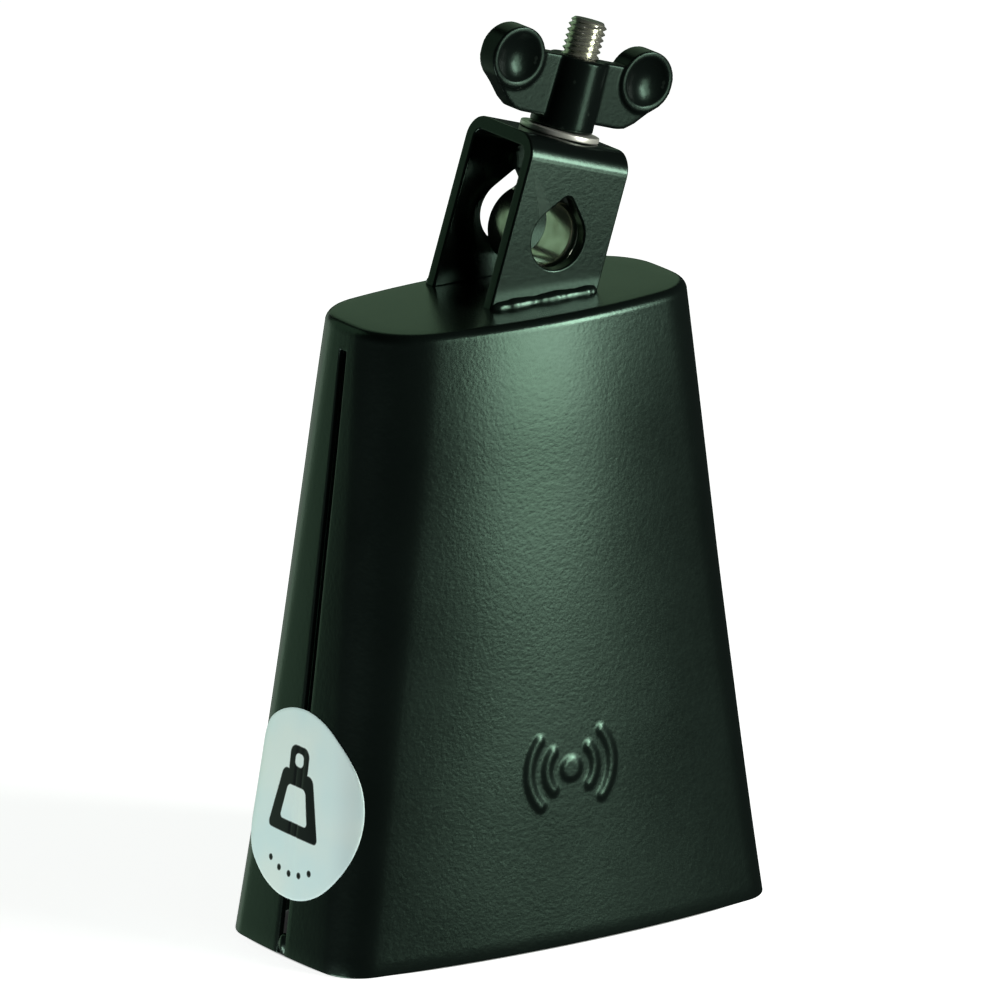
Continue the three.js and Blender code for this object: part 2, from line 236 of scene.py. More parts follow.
def smooth_step(value, low, high):
    t = min(max((value - low) / (high - low), 0), 1)
    return t * t * (3 - 2 * t)


def waves(shape, point, seed=0):
    """Smooth noise up to a shape's height, with hills about its length across."""
    return shape["height"] * noise.noise(Vector(point) / shape["length"] + Vector((seed, 0, 0)))


def make_mesh(name, points, faces):
    """A mesh drawn in millimetres, as an object in metres."""
    mesh = bpy.data.meshes.new(name)
    mesh.from_pydata([tuple(Vector(p) * MM) for p in points], [], faces)
    mesh.validate()
    piece = bpy.data.objects.new(name, mesh)
    bpy.context.scene.collection.objects.link(piece)
    face_outwards(piece)
    return piece


@contextmanager
def editing(piece):
    """Opens a piece's mesh for edits and stores them afterwards."""
    form = bmesh.new()
    form.from_mesh(piece.data)
    yield form
    form.to_mesh(piece.data)
    form.free()


def face_outwards(piece):
    with editing(piece) as form:
        bmesh.ops.recalc_face_normals(form, faces=form.faces)


def close_ends(piece):
    """Closes the tiny rings at a piece's ends into points."""
    with editing(piece) as form:
        bmesh.ops.remove_doubles(form, verts=form.verts, dist=TINY * MM)
        bmesh.ops.recalc_face_normals(form, faces=form.faces)


def settle(piece):
    """Replaces a piece's mesh by what its modifiers make of it."""
    graph = bpy.context.evaluated_depsgraph_get()
    made = bpy.data.meshes.new_from_object(piece.evaluated_get(graph))
    piece.modifiers.clear()
    piece.data = made


def place(piece, matrix):
    """Moves a piece's points by a matrix in millimetres."""
    scale = Matrix.Scale(MM, 4)
    piece.data.transform(scale @ matrix @ scale.inverted())


def combine(piece, other, how):
    """Joins a piece with another, or cuts the other out of it. The other is used up."""
    modifier = piece.modifiers.new("combine", "BOOLEAN")
    modifier.operation = how
    modifier.solver = "EXACT"
    modifier.object = other
    settle(piece)
    bpy.data.objects.remove(other)


def round_edges(piece, width, angle):
    """Rounds the edges that turn by more than an angle in degrees."""
    bevel = piece.modifiers.new("rounding", "BEVEL")
    bevel.width = width * MM
    bevel.segments = 3
    bevel.limit_method = "ANGLE"
    bevel.angle_limit = math.radians(angle)
    bevel.harden_normals = False
    settle(piece)


def shade_smooth(piece, angle):
    """Shades a piece smooth, but for the edges that turn by more than an angle in degrees."""
    piece.data.shade_smooth()
    limit = math.radians(angle)
    with editing(piece) as form:
        for edge in form.edges:
            edge.smooth = len(edge.link_faces) == 2 and edge.calc_face_angle(0) < limit


def flatten_flats(piece):
    """Lets large flat faces set the shading of their own corners."""
    weighted = piece.modifiers.new("weighted", "WEIGHTED_NORMAL")
    weighted.keep_sharp = True
    settle(piece)


def cast(piece, voxel, rounds):
    """Gives a piece the soft inner and outer corners of a casting or a forging."""
    remesh = piece.modifiers.new("remesh", "REMESH")
    remesh.mode = "VOXEL"
    remesh.voxel_size = voxel * MM
    soften = piece.modifiers.new("soften", "SMOOTH")
    soften.factor = 0.6
    soften.iterations = rounds
    settle(piece)
    piece.data.shade_smooth()


def grid_faces(rows, columns, start=0):
    """Quads between closed rings of equal length."""
    faces = []
    for row in range(rows - 1):
        for column in range(columns):
            a = start + row * columns + column
            b = start + row * columns + (column + 1) % columns
            faces.append((a, b, b + columns, a + columns))
    return faces


def end_faces(rows, columns):
    """The two flat faces that close the first and last of a grid's rings."""
    last = (rows - 1) * columns
    return [tuple(range(columns)), tuple(range(last, last + columns))]


def turned_points(profile, sides):
    """A ring of points about Z for each (radius, height) pair of a profile."""
    angles = [2 * math.pi * side / sides for side in range(sides)]
    return [
        (radius * math.cos(angle), radius * math.sin(angle), height)
        for radius, height in profile
        for angle in angles
    ]


def turned(name, profile, sides):
    """A closed profile turned about Z."""
    faces = grid_faces(len(profile), sides)
    last = (len(profile) - 1) * sides
    faces += [(last + s, last + (s + 1) % sides, (s + 1) % sides, s) for s in range(sides)]
    return make_mesh(name, turned_points(profile, sides), faces)


def turned_solid(name, profile, sides=72):
    """A profile turned about Z, closed by a flat face at each end."""
    faces = grid_faces(len(profile), sides) + end_faces(len(profile), sides)
    return make_mesh(name, turned_points(profile, sides), faces)


def rounded_section(inner, outer, bottom, top, rounding, steps=5):
    """A washer's section as (radius, height) pairs, with round corners."""
    corners = [
        (outer - rounding, bottom + rounding, -math.pi / 2),
        (outer - rounding, top - rounding, 0),
        (inner + rounding, top - rounding, math.pi / 2),
        (inner + rounding, bottom + rounding, math.pi),
    ]
    section = []
    for radius, height, start in corners:
        section += arc((radius, height), rounding, start, start + math.pi / 2, steps)
    return section


def lump(name, rings):
    """A smooth closed form, drawn as rings of points that shrink to nothing at both ends."""
    points = [p for ring in rings for p in ring]
    piece = make_mesh(name, points, grid_faces(len(rings), len(rings[0])))
    close_ends(piece)
    piece.data.shade_smooth()
    return piece


def bridged(name, one, other):
    """A solid between two outlines that have as many points."""
    faces = end_faces(2, len(one)) + grid_faces(2, len(one))
    return make_mesh(name, one + other, faces)


def plate(name, outline, low, high):
    """An outline of (x, z) pairs made solid between two depths."""
    return bridged(name, [(x, low, z) for x, z in outline], [(x, high, z) for x, z in outline])


def arc(centre, radius, start, end, steps):
    """Points along an arc, both ends included."""
    angles = [lerp(start, end, step / steps) for step in range(steps + 1)]
    return [(centre[0] + radius * math.cos(a), centre[1] + radius * math.sin(a)) for a in angles]


# Bell


def section_at(height, offset=0.0):
    """The bell's section at a height, pushed out (or, if negative, in) by an offset."""
    level = min(max(height / BELL_HEIGHT, 0), 1)
    t = level + FLARE * level * (1 - level)
    keys = ("half_length", "half_depth", "corner")
    section = {key: lerp(MOUTH[key], CROWN[key], t) for key in keys}
    for key in ("long_radius", "end_radius"):
        section[key] = 1 / lerp(1 / MOUTH[key], 1 / CROWN[key], t)
    return {key: value + offset for key, value in section.items()}


def quarter(section, end_steps, corner_steps, long_shares):
    """A quarter of the outline as (x, y, nx, ny), with (nx, ny) pointing out of the wall.

    It runs from beside the seam at +X to the middle of the +Y side."""
    long_centre = Vector((0, section["half_depth"] - section["long_radius"]))
    end_centre = Vector((section["half_length"] - section["end_radius"], 0))
    reach_long = section["long_radius"] - section["corner"]
    reach_end = section["end_radius"] - section["corner"]
    axis = end_centre - long_centre
    apart = axis.length
    axis /= apart
    along = (reach_long**2 - reach_end**2 + apart**2) / (2 * apart)
    aside = math.sqrt(reach_long**2 - along**2)
    corner_centre = long_centre + axis * along + Vector((axis.y, -axis.x)) * aside
    seam_angle = math.asin(SEAM_WIDTH / 2 / section["end_radius"])
    from_end = corner_centre - end_centre
    from_long = corner_centre - long_centre
    end_angle = math.atan2(from_end.y, from_end.x)
    long_angle = math.atan2(from_long.y, from_long.x)

    def on(centre, radius, angle):
        out = Vector((math.cos(angle), math.sin(angle)))
        return (*(centre + out * radius), *out)

    points = [
        on(end_centre, section["end_radius"], lerp(seam_angle, end_angle, i / end_steps))
        for i in range(end_steps)
    ]
    points += [
        on(corner_centre, section["corner"], lerp(end_angle, long_angle, i / corner_steps))
        for i in range(corner_steps)
    ]
    points += [
        on(long_centre, section["long_radius"], lerp(long_angle, math.pi / 2, share))
        for share in long_shares
    ]
    return points


def emblem_shares():
    """Shares of a long arc's half, close together where the emblem is."""
    level = EMBLEM_HEIGHT / BELL_HEIGHT
    half = lerp(MOUTH["half_length"], CROWN["half_length"], level)
    half -= lerp(MOUTH["corner"], CROWN["corner"], level)
    fine = 1 - FINE_HALF_WIDTH / half
    fine_steps = round(FINE_HALF_WIDTH / FINE_STEP)
    return [fine * i / LONG_STEPS for i in range(LONG_STEPS)] + [
        lerp(fine, 1, i / fine_steps) for i in range(fine_steps + 1)
    ]


LONG_SHARES = emblem_shares()


def outline(section):
    """The whole outline as (x, y, nx, ny), from beside the seam at +X, counter-clockwise."""
    one = quarter(section, END_STEPS, CORNER_STEPS, LONG_SHARES)
    back = one[::-1]
    flipped = [(-x, y, -nx, ny) for x, y, nx, ny in back[1:]]
    half = one + flipped
    return half + [(-x, -y, -nx, -ny) for x, y, nx, ny in half]


def emblem_relief(x, z):
    """How far the emblem stands out of the front at a point."""
    across, up = x, z - EMBLEM_HEIGHT
    radius = math.hypot(across, up)
    swing = math.atan2(up, abs(across))
    depth = EMBLEM_DOT - radius
    for arc_radius in EMBLEM_ARCS:
        past_end = (abs(swing) - EMBLEM_SWEEP) * arc_radius
        depth = max(depth, EMBLEM_LINE - math.hypot(radius - arc_radius, max(past_end, 0)))
    return EMBLEM_RELIEF * smooth_step(depth, -EMBLEM_SPREAD, EMBLEM_SPREAD)


def wall_out(x, y, ny, height):
    """How far the outside stands off its plain section.

    It has slight waves, the emblem and the roll under the crown."""
    out = waves(WALL_WAVES, (x, y, height))
    if y < 0:
        out += emblem_relief(x, height)
    above_roll = height - BELL_HEIGHT + CROWN_EDGE_RADIUS + TOP_ROLL["height"]
    into_roll = max(above_roll, 0) / TOP_ROLL["height"]
    return out - TOP_ROLL["inwards"] * into_roll**2 * ny**2


def ring_at(height, pull=0.0, rise=0.0):
    """Points round the outside at a height, drawn in by pull and then lifted by rise."""
    ring = []
    for x, y, nx, ny in outline(section_at(height, -pull)):
        out = wall_out(x, y, ny, height)
        ring.append((x + nx * out, y + ny * out, height + rise))
    return ring


def wall_heights():
    """Heights of the rows of points up the wall, close together where the emblem is."""
    shoulder = BELL_HEIGHT - CROWN_EDGE_RADIUS
    low = EMBLEM_HEIGHT - FINE_HALF_HEIGHT
    high = EMBLEM_HEIGHT + FINE_HALF_HEIGHT
    heights = list(np.linspace(0, low, WALL_ROWS["below_emblem"])[:-1])
    heights += list(np.linspace(low, high, round((high - low) / FINE_STEP))[:-1])
    heights += list(np.linspace(high, SEAM_TOP, WALL_ROWS["above_emblem"])[:-1])
    return heights + list(np.linspace(SEAM_TOP, shoulder, WALL_ROWS["shoulder"]))


def bell_rings(heights):
    """Rings of points up the wall, round the crown's edge and in over the slightly domed crown."""
    rings = [ring_at(height) for height in heights]
    for step in range(1, CROWN_EDGE_STEPS + 1):
        turn = math.pi / 2 * step / CROWN_EDGE_STEPS
        pull = CROWN_EDGE_RADIUS * (1 - math.cos(turn))
        rings.append(ring_at(heights[-1], pull, CROWN_EDGE_RADIUS * math.sin(turn)))
    rim = rings[-1]
    for step in range(1, CROWN_STEPS):
        share = 1 - step / CROWN_STEPS
        height = BELL_HEIGHT + CROWN_DOME * (1 - share**2)
        rings.append([(p[0] * share, p[1] * share, height) for p in rim])
    return rings


def bell_faces(heights, rows, columns):
    """Faces between the rings, less the two seams' slots, and a fan round the crown's middle."""
    faces = []
    for face in grid_faces(rows, columns):
        row, column = divmod(face[0], columns)
        beside_seam = column in (columns // 2 - 1, columns - 1)
        height = heights[min(row, len(heights) - 1)]
        if not (beside_seam and height < SEAM_TOP - TINY):
            faces.append(face)
    last = (rows - 1) * columns
    middle = rows * columns
    return faces + [(last + i, last + (i + 1) % columns, middle) for i in range(columns)]


def bell():
    """One sheet with its outside drawn here, thickened inwards."""
    heights = wall_heights()
    rings = bell_rings(heights)
    points = [p for ring in rings for p in ring] + [(0, 0, BELL_HEIGHT + CROWN_DOME)]
    piece = make_mesh("bell_sheet", points, bell_faces(heights, len(rings), len(rings[0])))
    sheet = piece.modifiers.new("sheet", "SOLIDIFY")
    sheet.thickness = WALL * MM
    sheet.offset = -1
    sheet.use_even_offset = True
    settle(piece)
    round_edges(piece, RIM_ROUNDING, angle=55)
    shade_smooth(piece, 40)
    return piece


def seam_weld(name, side):
    """A lump of weld that fills the foot of a seam.

    side is -1 for the left end, +1 for the right."""
    slope = (MOUTH["half_length"] - CROWN["half_length"]) / BELL_HEIGHT
    middle = (SEAM_WELD["low"] + SEAM_WELD["high"]) / 2
    half_height = (SEAM_WELD["high"] - SEAM_WELD["low"]) / 2
    depth = SEAM_WELD["bulge"] + WALL / 2
    rows, columns = 28, 40
    rings = []
    for row in range(rows + 1):
        tilt = math.pi * (row / rows - 0.5)
        level = math.cos(tilt)
        ring = []
        for column in range(columns):
            turn = 2 * math.pi * column / columns
            out = Vector((level * math.cos(turn), level * math.sin(turn), math.sin(tilt)))
            swell = 1 + waves(SEAM_WELD_LUMPS, out, seed=3 + side)
            height = middle + out.z * half_height * swell
            x = MOUTH["half_length"] - slope * height - WALL / 2 + out.x * depth * swell
            y = out.y * SEAM_WELD["half_width"] * swell
            ring.append((side * x, y, height))
        rings.append(ring)
    return lump(name, rings)


# Label


def left_end_point(around, height, offset):
    """The wall's outside at a distance round from the left seam, pushed out by an offset."""
    section = section_at(height, offset)
    corner = quarter(section, END_STEPS * 3, CORNER_STEPS * 3, [0.0, 0.1, 0.3])
    points = [(-section["half_length"], 0.0)] + [(-x, y) for x, y, _, _ in corner]
    left = abs(around)
    side = math.copysign(1, around)
    for here, following in zip(points, points[1:]):
        span = math.dist(here, following)
        if left <= span:
            t = left / span
            return (lerp(here[0], following[0], t), side * lerp(here[1], following[1], t), height)
        left -= span
    return (points[-1][0], side * points[-1][1], height)


def label_spots():
    """The label's points as (around, up) pairs, in rings that crowd together towards its rim."""
    spots = []
    for ring in range(LABEL_RINGS + 1):
        reach = LABEL_RADIUS * (1 - (1 - ring / LABEL_RINGS) ** LABEL_CROWDING)
        for ray in range(LABEL_RAYS):
            angle = 2 * math.pi * ray / LABEL_RAYS
            spots.append((reach * math.cos(angle), reach * math.sin(angle)))
    return spots


def label_out(around, up, skin):
    """How far the label's inner skin (0) or outer skin (1) stands off the wall."""
    past_slot = (abs(around) - SEAM_WIDTH / 2) / LABEL_SAG["edge_width"]
    sag = LABEL_SAG["edge"] * math.exp(-past_slot**2)
    sag += LABEL_SAG["slot"] * (abs(around) < SEAM_WIDTH / 2)
    at_rim = math.hypot(around, up) > LABEL_RADIUS - LABEL_RIM["width"]
    lift = LABEL_STAND_OFF + waves(LABEL_WAVES, (around, up, 5))
    return lift + skin * (LABEL_THICKNESS - sag - LABEL_RIM["thinner"] * at_rim)


def label():
    """Thin film on the left end. Its UV map is in label radii from the middle, for the print."""
    lean = math.hypot(1, (MOUTH["half_length"] - CROWN["half_length"]) / BELL_HEIGHT)
    flat = label_spots()
    points = [
        left_end_point(around, LABEL_HEIGHT + up / lean, label_out(around, up, skin))
        for skin in (0, 1)
        for around, up in flat
    ]
    per_skin = len(flat)
    inner = [tuple(reversed(f)) for f in grid_faces(LABEL_RINGS + 1, LABEL_RAYS)]
    outer = grid_faces(LABEL_RINGS + 1, LABEL_RAYS, start=per_skin)
    last = LABEL_RINGS * LABEL_RAYS
    rim = []
    for ray in range(LABEL_RAYS):
        a, b = last + ray, last + (ray + 1) % LABEL_RAYS
        rim.append((a, b, per_skin + b, per_skin + a))
    piece = make_mesh("label_film_piece", points, inner + outer + rim)
    layer = piece.data.uv_layers.new(name="print")
    for loop in piece.data.loops:
        around, up = flat[loop.vertex_index % per_skin]
        layer.data[loop.index].uv = (around / LABEL_RADIUS, up / LABEL_RADIUS)
    close_ends(piece)
    shade_smooth(piece, 50)
    return piece


# Bracket


def strap_profile():
    """The strap's path as two lists of (depth, up) pairs, one for each face of the strap."""
    steps = 14
    outer = BRACKET_DEPTH / 2
    bend_centre = outer - BEND_RADIUS
    bend_up = BRACKET_HEIGHT - BEND_RADIUS
    inner_radius = BEND_RADIUS - STRAP_THICKNESS
    outside = arc((bend_centre, bend_up), BEND_RADIUS, 0, math.pi / 2, steps)
    outside += arc((-bend_centre, bend_up), BEND_RADIUS, math.pi / 2, math.pi, steps)
    inside = arc((-bend_centre, bend_up), inner_radius, math.pi, math.pi / 2, steps)
    inside += arc((bend_centre, bend_up), inner_radius, math.pi / 2, 0, steps)
    return outside, inside


def teardrop_outline(across, up):
    slant = math.asin((SEAT["radius"] - APEX["radius"]) / APEX["rise"])
    seat = (across, up)
    apex = (across, up + APEX["rise"])
    shape = arc(seat, SEAT["radius"], math.pi - slant, 2 * math.pi + slant, 56)
    return shape + arc(apex, APEX["radius"], slant, math.pi - slant, 12)


def bracket():
    """A bent strap whose feet meet the level crown, with its rod holes and its screw hole."""
    outer = BRACKET_DEPTH / 2
    inner = outer - STRAP_THICKNESS
    outside, inside = strap_profile()
    profile = [(outer, None), *outside, (-outer, None), (-inner, None), *inside, (inner, None)]
    edges = []
    for across in (STRAP_ACROSS - STRAP_WIDTH / 2, STRAP_ACROSS + STRAP_WIDTH / 2):
        foot = across * math.tan(LEAN) - FOOT_SINK
        edges.append([(across, depth, foot if up is None else up) for depth, up in profile])
    piece = bridged("strap_bracket", *edges)
    across, up = SEAT["across"], SEAT["up"]
    front_hole = plate("front_hole", teardrop_outline(across, up), -BRACKET_DEPTH, 0)
    combine(piece, front_hole, "DIFFERENCE")
    across += REAR_HOLE_SHIFT["across"]
    up += REAR_HOLE_SHIFT["up"]
    rear_hole = plate("rear_hole", teardrop_outline(across, up), 0, BRACKET_DEPTH)
    combine(piece, rear_hole, "DIFFERENCE")
    below, above = 8, 4
    ends = (BRACKET_HEIGHT - below, BRACKET_HEIGHT + above)
    screw_hole = turned_solid("screw_hole", [(CLEARANCE_HOLE_RADIUS, end) for end in ends], 64)
    place(screw_hole, Matrix.Translation((SCREW_ACROSS, 0, 0)))
    combine(piece, screw_hole, "DIFFERENCE")
    round_edges(piece, STRAP_EDGE, angle=35)
    place(piece, LEANING)
    shade_smooth(piece, 30)
    flatten_flats(piece)
    return piece


def bracket_weld(name, side):
    """A smooth, slightly uneven bead along the foot of one leg.

    side is -1 for the front leg, +1 for the rear."""
    length = STRAP_WIDTH / math.cos(LEAN) - BEAD["shorter"]
    rows, columns = 150, 30
    rings = []
    for row in range(rows + 1):
        share = row / rows
        along = (share - 0.5) * length
        end = math.sqrt(max(1 - (2 * share - 1) ** BEAD["bluntness"], 0))
        swell = 1 + waves(BEAD_SWELLS, (along, side, 0)) + waves(BEAD_LUMPS, (along, side, 9))
        ring = []
        for column in range(columns):
            turn = 2 * math.pi * column / columns
            grain = 1 + waves(BEAD_GRAIN, (along, math.cos(turn), math.sin(turn)))
            radius = BEAD["radius"] * end * swell * grain
            y = BRACKET_DEPTH / 2 - BEAD["inset"] + radius * math.cos(turn)
            z = BEAD["up"] + radius * math.sin(turn) * BEAD["taller"]
            ring.append((along + STRAP_ACROSS, side * y, z))
        rings.append(ring)
    piece = lump(name, rings)
    place(piece, Matrix.Translation(BRACKET_FOOT))
    return piece


# Clamp screw pieces


def threaded_shank(bottom):
    """A shank with a helical thread that starts in the neck and runs out at the end's chamfer."""
    sides, steps = 60, 10
    radius, pitch = THREAD["radius"], THREAD["pitch"]
    rows = round((SHANK_END - bottom) / pitch * steps)
    points = []
    for row in range(rows + 1):
        height = lerp(bottom, SHANK_END, row / rows)
        limit = radius - SHANK_CHAMFER + (SHANK_END - height)
        for side in range(sides):
            turn = side / sides
            phase = (height / pitch - turn) % 1
            tooth = abs(2 * phase - 1)
            flank = min(max((tooth - THREAD["crest"]) / THREAD["flank"], 0), 1)
            here = min(radius - THREAD["depth"] * flank, limit)
            angle = 2 * math.pi * turn
            points.append((here * math.cos(angle), here * math.sin(angle), height))
    faces = grid_faces(rows + 1, sides) + end_faces(rows + 1, sides)
    return make_mesh("threaded_shank", points, faces)


def neck_profile():
    """The neck above the eye as (radius, height) pairs, and the height where it ends."""
    steps = 8
    base = EYE["up"] + EYE["inner"] + NECK["root"]
    foot = base + NECK["foot"]
    profile = [(NECK["radius"] + NECK["flare"], base), (NECK["radius"], foot)]
    for step in range(1, steps + 1):
        share = step / steps
        radius = lerp(NECK["radius"], THREAD["radius"] - 0.1, math.sin(share * math.pi / 2))
        profile.append((radius, foot + NECK["height"] * share))
    return profile, foot + NECK["height"]


def eye_bolt():
    """A forged eye with a flared neck, and a threaded shank joined to it."""
    half = EYE["length"] / 2
    section = rounded_section(EYE["inner"], EYE["outer"], -half, half, EYE["rounding"])
    piece = turned("eye_bolt_piece", section, 80)
    place(piece, Matrix.Translation((0, 0, EYE["up"])) @ UPRIGHT)
    profile, neck_top = neck_profile()
    combine(piece, turned_solid("neck", profile), "UNION")
    cast(piece, **FORGING)
    combine(piece, threaded_shank(neck_top - NECK["overlap"]), "UNION")
    place(piece, SCREW)
    shade_smooth(piece, 28)
    return piece


def washer():
    piece = turned("washer_piece", rounded_section(**WASHER), 96)
    place(piece, SCREW)
    shade_smooth(piece, 50)
    return piece


def wing_outline():
    """Both wings, drawn up the right side and mirrored down the left."""
    bottom, corner, cut = WING["bottom"], WING["corner"], WING["cut"]
    nose_in, nose_up = WING["nose"]
    run = cut * WING["run"]
    lobe = (LOBE["across"], LOBE["up"])
    end = math.pi - math.asin((HUB["top"] - LOBE["up"]) / LOBE["radius"])
    right = [(0, bottom), (corner - cut, bottom)]
    right += [(corner - nose_in, bottom + nose_up), (corner + run, bottom + run)]
    right += arc(lobe, LOBE["radius"], -math.pi / 4, end, 36)
    return right + [(-x, z) for x, z in right[:0:-1]]


def cup_ball():
    """The radius of a ball that dishes a cup, and its outline as (radius, height) pairs."""
    radius = (CUP["radius"] ** 2 + CUP["depth"] ** 2) / (2 * CUP["depth"])
    steps = 24
    pole = 0.02
    tilts = [math.pi * (step / steps - 0.5) for step in range(steps + 1)]
    return radius, [(max(radius * math.cos(t), pole), radius * math.sin(t)) for t in tilts]


def wing_nut():
    """A die-cast nut: hub, wings, thick lobes and a dished cup in each lobe's faces."""
    hub = [
        (HUB["bottom_radius"] - HUB["chamfer"], HUB["bottom"]),
        (HUB["bottom_radius"], HUB["bottom"] + HUB["chamfer"]),
        (HUB["top_radius"], HUB["top"] - HUB["chamfer"]),
        (HUB["top_radius"] - HUB["chamfer"], HUB["top"]),
    ]
    piece = turned_solid("wing_nut_piece", hub)
    half = WING["thickness"] / 2
    combine(piece, plate("wings", wing_outline(), -half, half), "UNION")
    ball_radius, ball = cup_ball()
    half = LOBE["thickness"] / 2
    for side in (-1, 1):
        spot = Matrix.Translation((side * LOBE["across"], 0, LOBE["up"])) @ UPRIGHT
        disc = turned_solid("lobe", [(LOBE["radius"], -half), (LOBE["radius"], half)])
        place(disc, spot)
        combine(piece, disc, "UNION")
        for face in (-1, 1):
            reach = face * (half + ball_radius - CUP["depth"])
            cutter = turned_solid("cup", ball, 64)
            place(cutter, spot @ Matrix.Translation((0, 0, reach)))
            combine(piece, cutter, "DIFFERENCE")
    cast(piece, **CASTING)
    past = 2
    ends = (HUB["bottom"] - past, HUB["top"] + past)
    bore = turned_solid("bore", [(HUB["bore"], end) for end in ends], 64)
    combine(piece, bore, "DIFFERENCE")
    place(piece, SCREW)
    shade_smooth(piece, 45)
    return piece


# Materials


def put(tree, kind, inputs=None, **properties):
    """Adds a node. An input is given by its name or number, as a value or another node's output."""
    node = tree.nodes.new("ShaderNode" + kind)
    for key, value in properties.items():
        setattr(node, key, value)
    for key, value in (inputs or {}).items():
        if isinstance(value, bpy.types.NodeSocket):
            tree.links.new(value, node.inputs[key])
        else:
            node.inputs[key].default_value = value
    return node


def math_node(tree, operation, *values):
    return put(tree, "Math", dict(enumerate(values)), operation=operation).outputs[0]


def length_node(tree, a, b):
    """How long an arrow with legs a and b is."""
    squares = [math_node(tree, "MULTIPLY", leg, leg) for leg in (a, b)]
    return math_node(tree, "POWER", math_node(tree, "ADD", *squares), 0.5)


def principled(name, settings):
    """A material with one principled shader, whose sockets take the settings."""
    material = bpy.data.materials.new(name)
    material.use_nodes = True
    tree = material.node_tree
    tree.nodes.clear()
    shader = put(tree, "BsdfPrincipled", settings)
    put(tree, "OutputMaterial", {"Surface": shader.outputs[0]})
    return material, tree, shader


def feed(tree, shader, outputs):
    """Links outputs to a shader's inputs, by the inputs' names."""
    for name, output in outputs.items():
        tree.links.new(output, shader.inputs[name])


def object_place(tree):
    return put(tree, "TexCoord").outputs["Object"]


def noise_at(tree, coordinates, size, detail):
    """Noise with hills about one size across, in millimetres."""
    inputs = {"Vector": coordinates, "Scale": 1 / (size * MM), "Detail": detail}
    return put(tree, "TexNoise", inputs).outputs["Fac"]


def spread(tree, value, low, high, to_low, to_high):
    """Maps the range from low to high to another range, and holds it at the ends."""
    inputs = {"From Min": low, "From Max": high, "To Min": to_low, "To Max": to_high}
    return put(tree, "MapRange", {"Value": value, **inputs}).outputs[0]


def blend_colours(tree, share, one, other):
    inputs = {"Factor": share, "A": one, "B": other}
    return put(tree, "Mix", inputs, data_type="RGBA").outputs["Result"]


def bump_normal(tree, height, depth):
    """A normal from a height map that is depth millimetres deep."""
    inputs = {"Strength": 1.0, "Distance": depth * MM, "Height": height}
    return put(tree, "Bump", inputs).outputs[0]


def shaded(colour, factors):
    """A colour with its red, green and blue times the factors."""
    return tuple(c * f for c, f in zip(colour[:3], factors)) + (1,)


def powder_coat(name, base, worn, roughness, peel, sheen=0.5):
    """Semi-gloss black powder coat: orange peel, patchy gloss and a thinner film on sharp edges."""
    settings = {"Specular IOR Level": sheen, "Specular Tint": COAT_TINT, "IOR": 1.5}
    material, tree, shader = principled(name, settings)
    place_at = object_place(tree)
    patches = noise_at(tree, place_at, COAT_TEXTURE["patch"], 3)
    specks = noise_at(tree, place_at, COAT_TEXTURE["speck"], 2)
    edges = put(tree, "NewGeometry").outputs["Pointiness"]
    thin = spread(tree, edges, *COAT_EDGES, 0, 1)
    patchy = spread(tree, patches, *MIDDLE, 0, 1)
    colour = blend_colours(tree, patchy, base, shaded(base, (1.25, 1.25, 1.25)))
    colour = blend_colours(tree, thin, colour, worn)
    gloss = spread(tree, patches, *MIDDLE, roughness * 0.95, roughness * 1.05)
    gloss = math_node(tree, "ADD", gloss, spread(tree, specks, *MIDDLE, -0.01, 0.01))
    pits = {"Vector": place_at, "Scale": 1 / (COAT_TEXTURE["pit"] * MM), "Smoothness": 1.0}
    cells = put(tree, "TexVoronoi", pits, feature="SMOOTH_F1").outputs["Distance"]
    grain = noise_at(tree, place_at, COAT_TEXTURE["grain"], 1)
    normal = bump_normal(tree, math_node(tree, "ADD", cells, grain), peel)
    feed(tree, shader, {"Base Color": colour, "Roughness": gloss, "Normal": normal})
    return material


def nickel_plate(name, colour, roughness, metallic):
    """Bright nickel over steel, with faint cloudy tarnish and a fine grain."""
    material, tree, shader = principled(name, {"Metallic": metallic})
    place_at = object_place(tree)
    tarnish = noise_at(tree, place_at, NICKEL_TEXTURE["tarnish"], 4)
    dull = shaded(colour, (0.8, 0.8, 0.74))
    tint = blend_colours(tree, spread(tree, tarnish, 0.35, 0.75, 0, 1), colour, dull)
    haze = spread(tree, tarnish, 0.3, 0.75, roughness - 0.05, roughness + 0.1)
    grain = noise_at(tree, place_at, NICKEL_TEXTURE["grain"], 2)
    normal = bump_normal(tree, grain, NICKEL_TEXTURE["grain_depth"])
    feed(tree, shader, {"Base Color": tint, "Roughness": haze, "Normal": normal})
    return material


